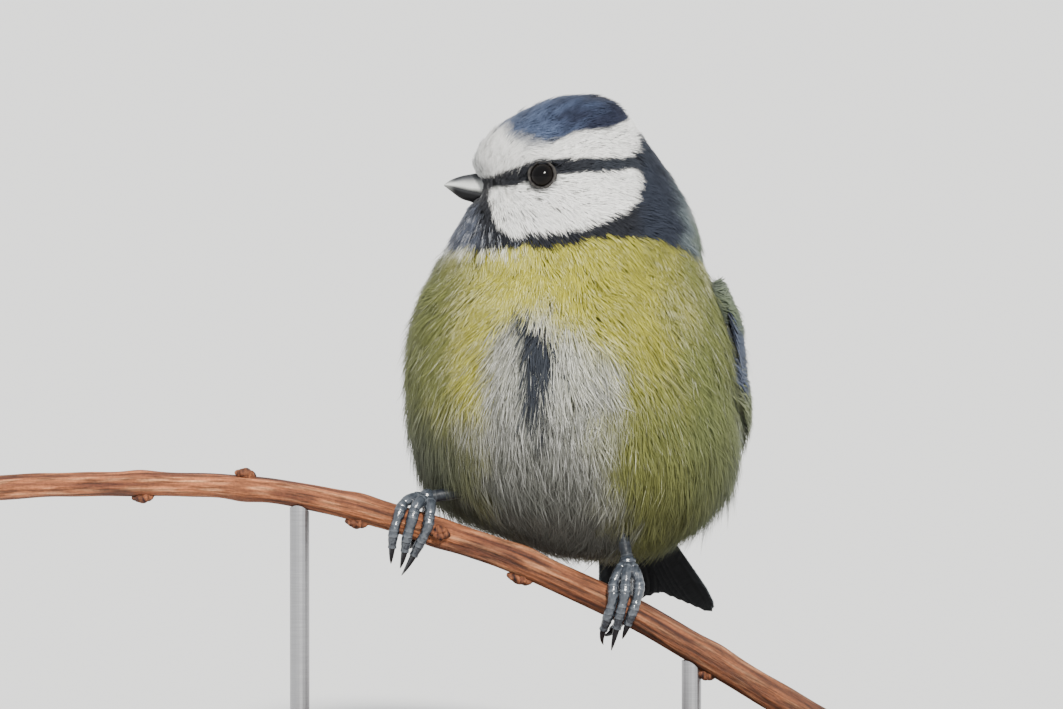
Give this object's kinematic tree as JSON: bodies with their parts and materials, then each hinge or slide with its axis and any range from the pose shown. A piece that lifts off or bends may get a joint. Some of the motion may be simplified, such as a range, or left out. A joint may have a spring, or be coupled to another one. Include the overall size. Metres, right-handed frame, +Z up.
{
  "type": "blue tit",
  "caption": "Life-size blue tit, fluffed up, head turned to its right, gripping a short cut length of sloping twig that slim rods hold over a flat display base",
  "frame": {"origin": "middle of the underside of the stand's base", "axes": "+Z up. The breast faces -Y and the bill points to -X; the tail reaches back to +Y."},
  "size_m": [0.1306, 0.1032, 0.1077],
  "materials": {
    "plumage_head": "soft barbs",
    "plumage_body": "soft barbs",
    "plumage_back": "soft barbs",
    "wing_feather": "satin vanes",
    "tail_feather": "satin vanes",
    "bill": "horn, slightly glossy",
    "eye": "wet gloss",
    "leg": "scaly, slightly glossy",
    "claw": "horn, slightly glossy",
    "bark": "smooth young bark",
    "base_wood": "satin",
    "rod_metal": "brushed"
  },
  "bodies": {
    "root": {"head": "plumage_head", "neck": "plumage_body", "torso": "plumage_body", "rump": "plumage_back", "tail": "tail_feather", "wing_l": "wing_feather", "wing_r": "wing_feather", "bill_upper": "bill", "bill_lower": "bill", "eye_l": "eye", "eye_r": "eye", "tarsus_l": "leg", "tarsus_r": "leg", "foot_l": "leg", "foot_r": "leg", "claw_l_1": "claw", "claw_l_2": "claw", "claw_l_3": "claw", "claw_l_4": "claw", "claw_r_1": "claw", "claw_r_2": "claw", "claw_r_3": "claw", "claw_r_4": "claw", "perch_twig": "bark", "stand_base": "base_wood", "stand_rod_1": "rod_metal", "stand_rod_2": "rod_metal"}
  },
  "joints": []
}
